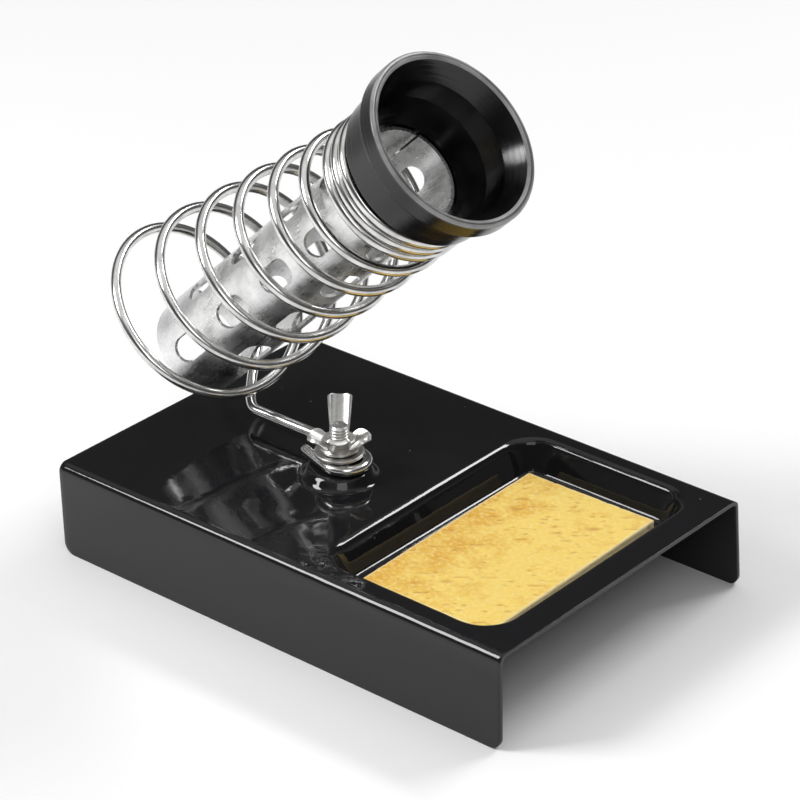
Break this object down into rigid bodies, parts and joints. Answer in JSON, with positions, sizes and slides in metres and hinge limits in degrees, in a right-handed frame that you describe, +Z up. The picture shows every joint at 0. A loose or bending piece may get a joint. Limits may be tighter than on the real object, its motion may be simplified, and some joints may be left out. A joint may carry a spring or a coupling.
{
  "type": "soldering iron stand",
  "caption": "Bench stand for a soldering iron: folded steel base with a sponge tray, and a coiled wire holder with a collar and a perforated tube that guards the hot tip.",
  "frame": {"origin": "under the middle of the stand, on the bench", "axes": "+X along the base, the way the holder leans and the sponge tray lies; +Y from the front flange to the back flange; +Z up"},
  "size_m": [0.1478, 0.0928, 0.1331],
  "materials": {
    "base_paint": "gloss black stoving enamel",
    "bright_wire": "bright nickel or chrome plate on spring wire",
    "tube_steel": "bright zinc-plated sheet, lightly mottled",
    "collar_black": "semi-gloss black with fine turned rings",
    "plated_hardware": "bright zinc plate",
    "sponge_cellulose": "open-cell cellulose sponge, dry"
  },
  "bodies": {
    "base": {"base_plate": "base_paint", "clamp_bolt": "plated_hardware"},
    "holder": {"holder_wire": "bright_wire", "guard_tube": "tube_steel", "collar": "collar_black"},
    "clamp_washer": {"flat_washer": "plated_hardware"},
    "clamp_nut": {"wing_nut": "plated_hardware"},
    "sponge_pad": {"sponge": "sponge_cellulose"}
  },
  "joints": [
    {"name": "holder_swivel", "type": "hinge", "parent": "base", "child": "holder", "pos_m": [-0.0054, -0.0076, 0.0291], "axis": [0, 0, 1], "range_deg": [-180, 180]},
    {"name": "washer_lift", "type": "slide", "parent": "base", "child": "clamp_washer", "axis": [0, 0, 1], "range_m": [0, 0.0033]},
    {"name": "nut_spin", "type": "hinge", "parent": "clamp_washer", "child": "clamp_nut", "pos_m": [-0.0054, -0.0076, 0.0321], "axis": [0, 0, 1], "range_deg": [0, 1440]},
    {"name": "sponge_lift", "type": "slide", "parent": "base", "child": "sponge_pad", "axis": [0, 0, 1], "range_m": [0, 0.007]}
  ],
  "couplings": [
    {"joint": "washer_lift", "follows": "nut_spin", "m_per_rad": 0.00012732}
  ]
}
